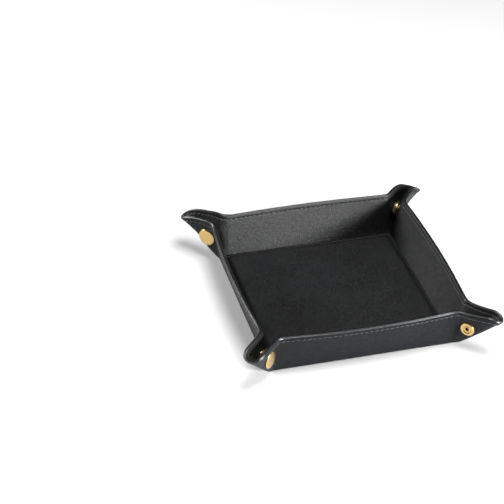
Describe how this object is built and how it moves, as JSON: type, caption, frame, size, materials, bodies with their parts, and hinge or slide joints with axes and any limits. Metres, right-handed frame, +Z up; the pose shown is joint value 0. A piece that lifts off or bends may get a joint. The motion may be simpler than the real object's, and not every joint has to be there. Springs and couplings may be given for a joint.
{
  "type": "travel valet tray",
  "caption": "Square leather tray whose low walls and pinched corner ears are held up by press snaps and fold out almost flat when the corners are unsnapped.",
  "frame": {"origin": "centre of the underside of the base panel, on the surface the tray stands on", "axes": "+Z up through the open top, +X to the right along the front wall, +Y towards the back wall"},
  "size_m": [0.1724, 0.1724, 0.0319],
  "materials": {
    "cover_leather": "fine pebbled grain, semi-matt, edges painted to match",
    "lining_leather": "fine pebbled grain, semi-matt",
    "thread": "waxed twisted sewing thread",
    "board": "pressed fibre board, hidden",
    "pad": "thin foam pad, hidden",
    "snap_brass": "polished pale gold plating",
    "spring_steel": "bright spring wire"
  },
  "bodies": {
    "base": {"cover_base": "cover_leather", "lining_base": "lining_leather", "base_board": "board", "base_pad": "pad"},
    "front_wall": {"cover_front_wall": "cover_leather", "lining_front_wall": "lining_leather", "seam_thread_front": "thread"},
    "right_wall": {"cover_right_wall": "cover_leather", "lining_right_wall": "lining_leather", "seam_thread_right": "thread"},
    "back_wall": {"cover_back_wall": "cover_leather", "lining_back_wall": "lining_leather", "seam_thread_back": "thread"},
    "left_wall": {"cover_left_wall": "cover_leather", "lining_left_wall": "lining_leather", "seam_thread_left": "thread"},
    "ear_post_front_right": {"cover_ear_post_front_right": "cover_leather", "lining_ear_post_front_right": "lining_leather", "snap_post_front_right": "snap_brass", "snap_stud_front_right": "snap_brass"},
    "ear_tip_front_right": {"cover_ear_tip_front_right": "cover_leather", "lining_ear_tip_front_right": "lining_leather"},
    "ear_cap_front_right": {"cover_ear_cap_front_right": "cover_leather", "lining_ear_cap_front_right": "lining_leather", "snap_cap_front_right": "snap_brass", "snap_socket_front_right": "snap_brass", "snap_spring_front_right": "spring_steel"},
    "ear_post_back_right": {"cover_ear_post_back_right": "cover_leather", "lining_ear_post_back_right": "lining_leather", "snap_post_back_right": "snap_brass", "snap_stud_back_right": "snap_brass"},
    "ear_tip_back_right": {"cover_ear_tip_back_right": "cover_leather", "lining_ear_tip_back_right": "lining_leather"},
    "ear_cap_back_right": {"cover_ear_cap_back_right": "cover_leather", "lining_ear_cap_back_right": "lining_leather", "snap_cap_back_right": "snap_brass", "snap_socket_back_right": "snap_brass", "snap_spring_back_right": "spring_steel"},
    "ear_post_back_left": {"cover_ear_post_back_left": "cover_leather", "lining_ear_post_back_left": "lining_leather", "snap_post_back_left": "snap_brass", "snap_stud_back_left": "snap_brass"},
    "ear_tip_back_left": {"cover_ear_tip_back_left": "cover_leather", "lining_ear_tip_back_left": "lining_leather"},
    "ear_cap_back_left": {"cover_ear_cap_back_left": "cover_leather", "lining_ear_cap_back_left": "lining_leather", "snap_cap_back_left": "snap_brass", "snap_socket_back_left": "snap_brass", "snap_spring_back_left": "spring_steel"},
    "ear_post_front_left": {"cover_ear_post_front_left": "cover_leather", "lining_ear_post_front_left": "lining_leather", "snap_post_front_left": "snap_brass", "snap_stud_front_left": "snap_brass"},
    "ear_tip_front_left": {"cover_ear_tip_front_left": "cover_leather", "lining_ear_tip_front_left": "lining_leather"},
    "ear_cap_front_left": {"cover_ear_cap_front_left": "cover_leather", "lining_ear_cap_front_left": "lining_leather", "snap_cap_front_left": "snap_brass", "snap_socket_front_left": "snap_brass", "snap_spring_front_left": "spring_steel"}
  },
  "joints": [
    {"name": "front_wall_fold", "type": "hinge", "parent": "base", "child": "front_wall", "pos_m": [0, -0.0635, 0], "axis": [1, 0, 0], "range_deg": [0, 70]},
    {"name": "right_wall_fold", "type": "hinge", "parent": "base", "child": "right_wall", "pos_m": [0.0635, 0, 0], "axis": [0, 1, 0], "range_deg": [0, 70]},
    {"name": "back_wall_fold", "type": "hinge", "parent": "base", "child": "back_wall", "pos_m": [0, 0.0635, 0], "axis": [-1, 0, 0], "range_deg": [0, 70]},
    {"name": "left_wall_fold", "type": "hinge", "parent": "base", "child": "left_wall", "pos_m": [-0.0635, 0, 0], "axis": [0, -1, 0], "range_deg": [0, 70]},
    {"name": "ear_post_bend_front_right", "type": "hinge", "parent": "front_wall", "child": "ear_post_front_right", "pos_m": [0.05846, -0.06114, 0.00046], "axis": [0.1874, -0.1874, 0.9642], "range_deg": [0, 38.2]},
    {"name": "ear_tip_fold_front_right", "type": "hinge", "parent": "ear_post_front_right", "child": "ear_tip_front_right", "pos_m": [0.06114, -0.06383, 0.0015], "axis": [-0.5382, 0.5382, -0.6485], "range_deg": [0, 77.1]},
    {"name": "ear_cap_fold_front_right", "type": "hinge", "parent": "ear_tip_front_right", "child": "ear_cap_front_right", "pos_m": [0.06383, -0.06114, 0.0015], "axis": [-0.5382, 0.5382, -0.6485], "range_deg": [0, 77.1]},
    {"name": "ear_post_bend_back_right", "type": "hinge", "parent": "right_wall", "child": "ear_post_back_right", "pos_m": [0.06114, 0.05846, 0.00046], "axis": [0.1874, 0.1874, 0.9642], "range_deg": [0, 38.2]},
    {"name": "ear_tip_fold_back_right", "type": "hinge", "parent": "ear_post_back_right", "child": "ear_tip_back_right", "pos_m": [0.06383, 0.06114, 0.0015], "axis": [-0.5382, -0.5382, -0.6485], "range_deg": [0, 77.1]},
    {"name": "ear_cap_fold_back_right", "type": "hinge", "parent": "ear_tip_back_right", "child": "ear_cap_back_right", "pos_m": [0.06114, 0.06383, 0.0015], "axis": [-0.5382, -0.5382, -0.6485], "range_deg": [0, 77.1]},
    {"name": "ear_post_bend_back_left", "type": "hinge", "parent": "back_wall", "child": "ear_post_back_left", "pos_m": [-0.05846, 0.06114, 0.00046], "axis": [-0.1874, 0.1874, 0.9642], "range_deg": [0, 38.2]},
    {"name": "ear_tip_fold_back_left", "type": "hinge", "parent": "ear_post_back_left", "child": "ear_tip_back_left", "pos_m": [-0.06114, 0.06383, 0.0015], "axis": [0.5382, -0.5382, -0.6485], "range_deg": [0, 77.1]},
    {"name": "ear_cap_fold_back_left", "type": "hinge", "parent": "ear_tip_back_left", "child": "ear_cap_back_left", "pos_m": [-0.06383, 0.06114, 0.0015], "axis": [0.5382, -0.5382, -0.6485], "range_deg": [0, 77.1]},
    {"name": "ear_post_bend_front_left", "type": "hinge", "parent": "left_wall", "child": "ear_post_front_left", "pos_m": [-0.06114, -0.05846, 0.00046], "axis": [-0.1874, -0.1874, 0.9642], "range_deg": [0, 38.2]},
    {"name": "ear_tip_fold_front_left", "type": "hinge", "parent": "ear_post_front_left", "child": "ear_tip_front_left", "pos_m": [-0.06383, -0.06114, 0.0015], "axis": [0.5382, 0.5382, -0.6485], "range_deg": [0, 77.1]},
    {"name": "ear_cap_fold_front_left", "type": "hinge", "parent": "ear_tip_front_left", "child": "ear_cap_front_left", "pos_m": [-0.06114, -0.06383, 0.0015], "axis": [0.5382, 0.5382, -0.6485], "range_deg": [0, 77.1]}
  ],
  "couplings": [
    {"joint": "right_wall_fold", "follows": "front_wall_fold", "ratio": 1},
    {"joint": "back_wall_fold", "follows": "front_wall_fold", "ratio": 1},
    {"joint": "left_wall_fold", "follows": "front_wall_fold", "ratio": 1},
    {"joint": "ear_post_bend_front_right", "follows": "front_wall_fold", "ratio": 0.5447},
    {"joint": "ear_tip_fold_front_right", "follows": "front_wall_fold", "ratio": 1.1006},
    {"joint": "ear_cap_fold_front_right", "follows": "front_wall_fold", "ratio": 1.1006},
    {"joint": "ear_post_bend_back_right", "follows": "front_wall_fold", "ratio": 0.5447},
    {"joint": "ear_tip_fold_back_right", "follows": "front_wall_fold", "ratio": 1.1006},
    {"joint": "ear_cap_fold_back_right", "follows": "front_wall_fold", "ratio": 1.1006},
    {"joint": "ear_post_bend_back_left", "follows": "front_wall_fold", "ratio": 0.5447},
    {"joint": "ear_tip_fold_back_left", "follows": "front_wall_fold", "ratio": 1.1006},
    {"joint": "ear_cap_fold_back_left", "follows": "front_wall_fold", "ratio": 1.1006},
    {"joint": "ear_post_bend_front_left", "follows": "front_wall_fold", "ratio": 0.5447},
    {"joint": "ear_tip_fold_front_left", "follows": "front_wall_fold", "ratio": 1.1006},
    {"joint": "ear_cap_fold_front_left", "follows": "front_wall_fold", "ratio": 1.1006}
  ]
}
